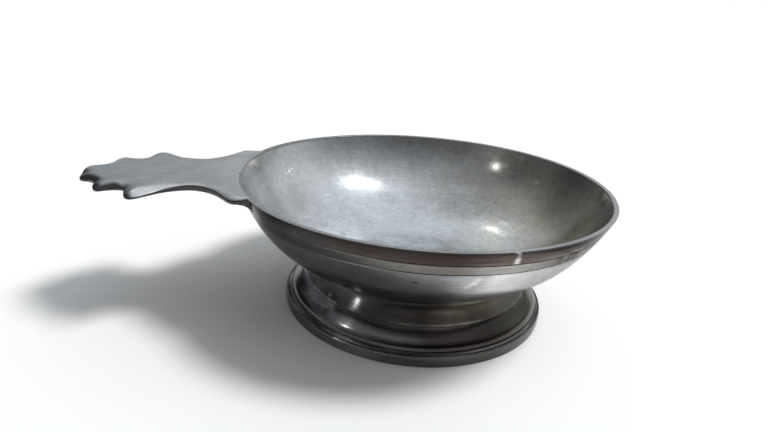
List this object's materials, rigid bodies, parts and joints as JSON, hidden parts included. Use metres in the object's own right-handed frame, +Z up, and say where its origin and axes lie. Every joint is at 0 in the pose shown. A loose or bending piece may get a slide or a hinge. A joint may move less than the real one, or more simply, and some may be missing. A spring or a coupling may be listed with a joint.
{
  "type": "footed pewter dish",
  "caption": "Shallow round pewter dish on a moulded ring foot, with a flat lobed ear handle level with the rim, for nuts and other small snacks.",
  "frame": {"origin": "middle of the whole outline seen from above, on the plane the foot stands on", "axes": "+Z up out of the bowl, the ear handle along -X, +Y across; the bowl's axis stands at x = +26.8 mm"},
  "size_m": [0.2036, 0.15, 0.0536],
  "materials": {
    "pewter_bowl": "satin, worn, lightly scratched grey pewter",
    "pewter_ear": "satin grey cast pewter with worn edges",
    "pewter_foot": "dark tarnished pewter with a low sheen",
    "solder": "dull grey solder"
  },
  "bodies": {
    "root": {"bowl": "pewter_bowl", "ear_handle": "pewter_ear", "foot_collar": "pewter_foot", "foot_base": "pewter_foot", "handle_solder": "solder", "collar_base_solder": "solder", "bowl_collar_solder": "solder"}
  },
  "joints": []
}
